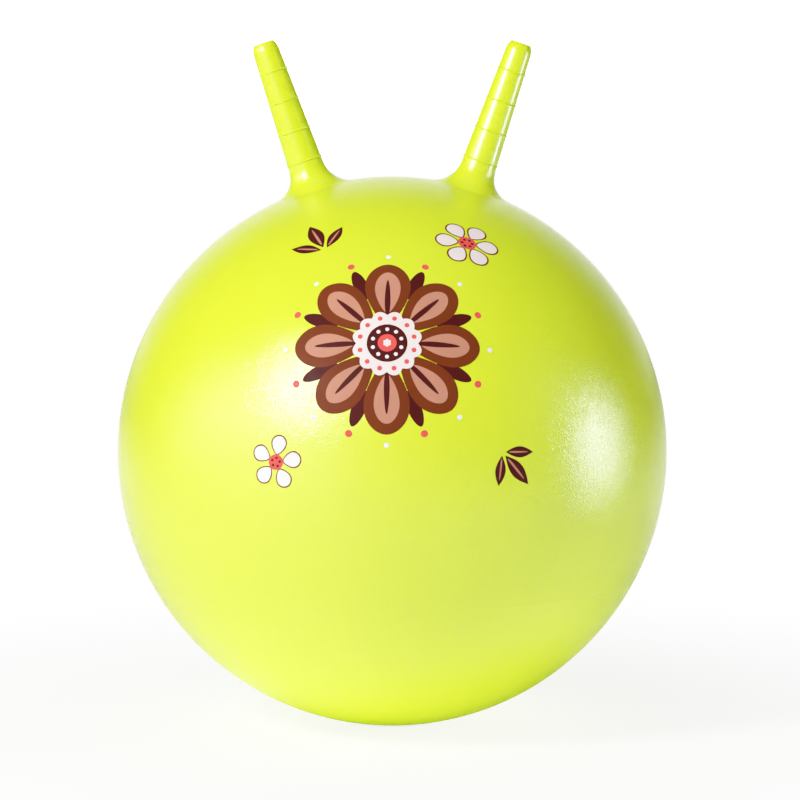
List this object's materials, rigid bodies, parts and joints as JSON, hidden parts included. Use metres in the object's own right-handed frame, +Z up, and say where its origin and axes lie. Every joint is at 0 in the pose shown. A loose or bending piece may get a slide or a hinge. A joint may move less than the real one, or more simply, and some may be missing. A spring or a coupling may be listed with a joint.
{
  "type": "hopper ball",
  "caption": "Inflated bouncing ball with ringed grip horns that flare from its top and bend on their roots, a printed front and a push-in filling valve at the back.",
  "frame": {"origin": "on the floor, under the middle of the ball, at the middle of its flat contact patch", "axes": "+Z up; the printed front faces -Y and the valve is at the back, towards +Y; the left horn, on the viewer's left, is at -X"},
  "size_m": [0.45, 0.45, 0.5593],
  "materials": {
    "skin_pvc": "satin",
    "horn_pvc": "satin",
    "seat_pvc": "satin",
    "plug_pvc": "satin"
  },
  "bodies": {
    "ball": {"ball_skin": "skin_pvc", "left_horn_root": "horn_pvc", "right_horn_root": "horn_pvc", "valve_seat": "seat_pvc"},
    "left_horn": {"left_horn": "horn_pvc"},
    "right_horn": {"right_horn": "horn_pvc"},
    "valve_plug": {"valve_plug": "plug_pvc"}
  },
  "joints": [
    {"name": "left_horn_flex", "type": "hinge", "parent": "ball", "child": "left_horn", "pos_m": [-0.06428, 0, 0.43887], "axis": [0.9458, 0, 0.3247], "range_deg": [-20, 20], "stiffness_Nm_per_rad": 6},
    {"name": "right_horn_flex", "type": "hinge", "parent": "ball", "child": "right_horn", "pos_m": [0.06428, 0, 0.43887], "axis": [0.9458, 0, -0.3247], "range_deg": [-20, 20], "stiffness_Nm_per_rad": 6},
    {"name": "valve_plug_pull", "type": "slide", "parent": "ball", "child": "valve_plug", "axis": [0, 0.9397, -0.342], "range_m": [0, 0.024]}
  ]
}
